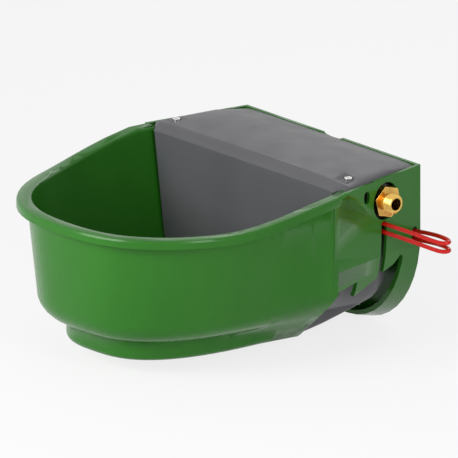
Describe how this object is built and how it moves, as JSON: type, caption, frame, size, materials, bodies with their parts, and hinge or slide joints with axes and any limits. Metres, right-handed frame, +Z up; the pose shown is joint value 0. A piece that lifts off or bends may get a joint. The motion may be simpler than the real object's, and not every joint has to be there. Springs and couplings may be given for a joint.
{
  "type": "livestock drinking bowl",
  "caption": "Wall-hung moulded drinking bowl with a float valve under a lift-off lid and a threaded side inlet.",
  "frame": {"origin": "centre of the flat back face, where it lies on the wall", "axes": "+Z up, +Y into the wall (the animal drinks from -Y), +X towards the threaded inlet"},
  "size_m": [0.3995, 0.406, 0.206],
  "materials": {
    "green_plastic": "glossy moulded plastic, dark green",
    "grey_plastic": "satin grey plastic",
    "brass": "turned brass",
    "steel": "stainless steel",
    "black_rubber": "black sealing rubber",
    "white_plastic": "natural white plastic",
    "red_coating": "bright red coated wire"
  },
  "bodies": {
    "housing": {"bowl_shell": "green_plastic", "float_tank": "grey_plastic", "tank_gasket": "black_rubber", "inlet_nipple": "brass", "inlet_washer": "black_rubber", "inlet_locknut": "brass", "blanking_plug": "grey_plastic", "plug_washer": "black_rubber", "plug_locknut": "grey_plastic", "valve_body": "brass", "valve_nozzle": "white_plastic", "arm_pin": "steel", "tank_screw_1": "steel", "tank_screw_2": "steel", "tank_screw_3": "steel", "tank_screw_4": "steel"},
    "lid": {"valve_cover": "grey_plastic"},
    "lock_right": {"cover_lock_right": "steel"},
    "lock_left": {"cover_lock_left": "steel"},
    "float_lever": {"float_arm": "brass", "float": "white_plastic", "float_nut": "steel"},
    "plunger": {"valve_plunger": "white_plastic", "plunger_seal": "black_rubber"},
    "bail": {"red_wire_bail": "red_coating"}
  },
  "joints": [
    {"name": "lid_lift", "type": "slide", "parent": "housing", "child": "lid", "axis": [0, 0, 1], "range_m": [0, 0.16]},
    {"name": "lock_right_turn", "type": "hinge", "parent": "lid", "child": "lock_right", "pos_m": [0.1446, -0.1053, 0.1036], "axis": [0, 0, 1], "range_deg": [-90, 0]},
    {"name": "lock_left_turn", "type": "hinge", "parent": "lid", "child": "lock_left", "pos_m": [-0.1446, -0.1053, 0.1036], "axis": [0, 0, 1], "range_deg": [-90, 0]},
    {"name": "float_swing", "type": "hinge", "parent": "housing", "child": "float_lever", "pos_m": [0.088, -0.062, 0.05245], "axis": [0, -1, 0], "range_deg": [0, 15]},
    {"name": "plunger_slide", "type": "slide", "parent": "housing", "child": "plunger", "axis": [-1, 0, 0], "range_m": [0, 0.0052]},
    {"name": "bail_swing", "type": "hinge", "parent": "housing", "child": "bail", "pos_m": [0.15, -0.035, 0.03], "axis": [-0.15, 0.9169, -0.3699], "range_deg": [-8, 8]}
  ],
  "couplings": [
    {"joint": "plunger_slide", "follows": "float_swing", "m_per_rad": 0.0187}
  ]
}
